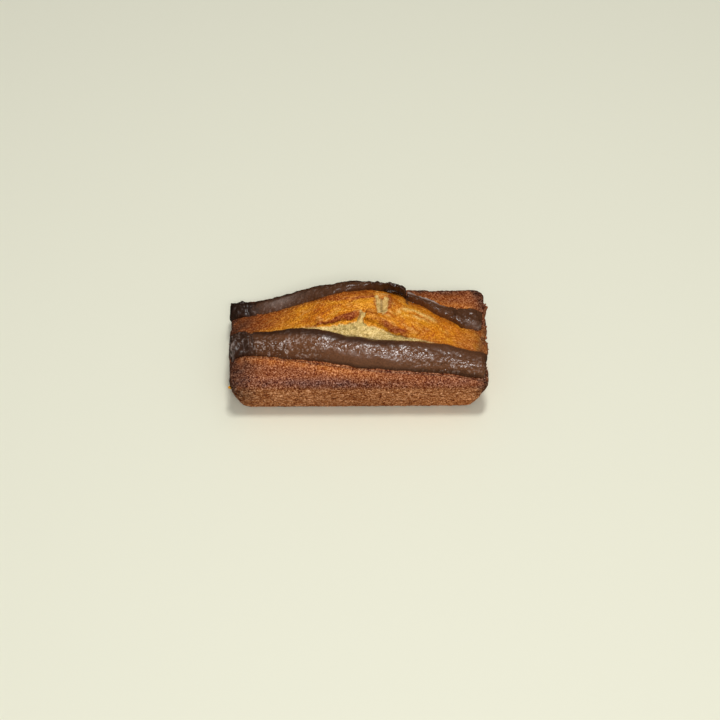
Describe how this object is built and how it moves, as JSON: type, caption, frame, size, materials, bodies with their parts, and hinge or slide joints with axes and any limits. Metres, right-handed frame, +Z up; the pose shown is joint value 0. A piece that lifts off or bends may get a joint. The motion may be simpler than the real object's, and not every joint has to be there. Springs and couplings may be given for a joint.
{
  "type": "financier cake",
  "caption": "Small bar-shaped financier cake with a domed golden top that has split open to pale crumb, a brown flared crust and chocolate lines piped askew along it",
  "frame": {"origin": "Centre of the flat base that the cake stands on", "axes": "+X along the length, to the right for a viewer who faces the split side; +Y from the split side to the back; +Z up"},
  "size_m": [0.0881, 0.0436, 0.0314],
  "materials": {
    "crust": "matte baked crust, golden on the dome and brown on the walls",
    "chocolate": "baked chocolate, satin with fine glossy bumps"
  },
  "bodies": {
    "root": {"cake_body": "crust", "front_line": "chocolate", "back_line_left": "chocolate", "back_line_right": "chocolate"}
  },
  "joints": []
}
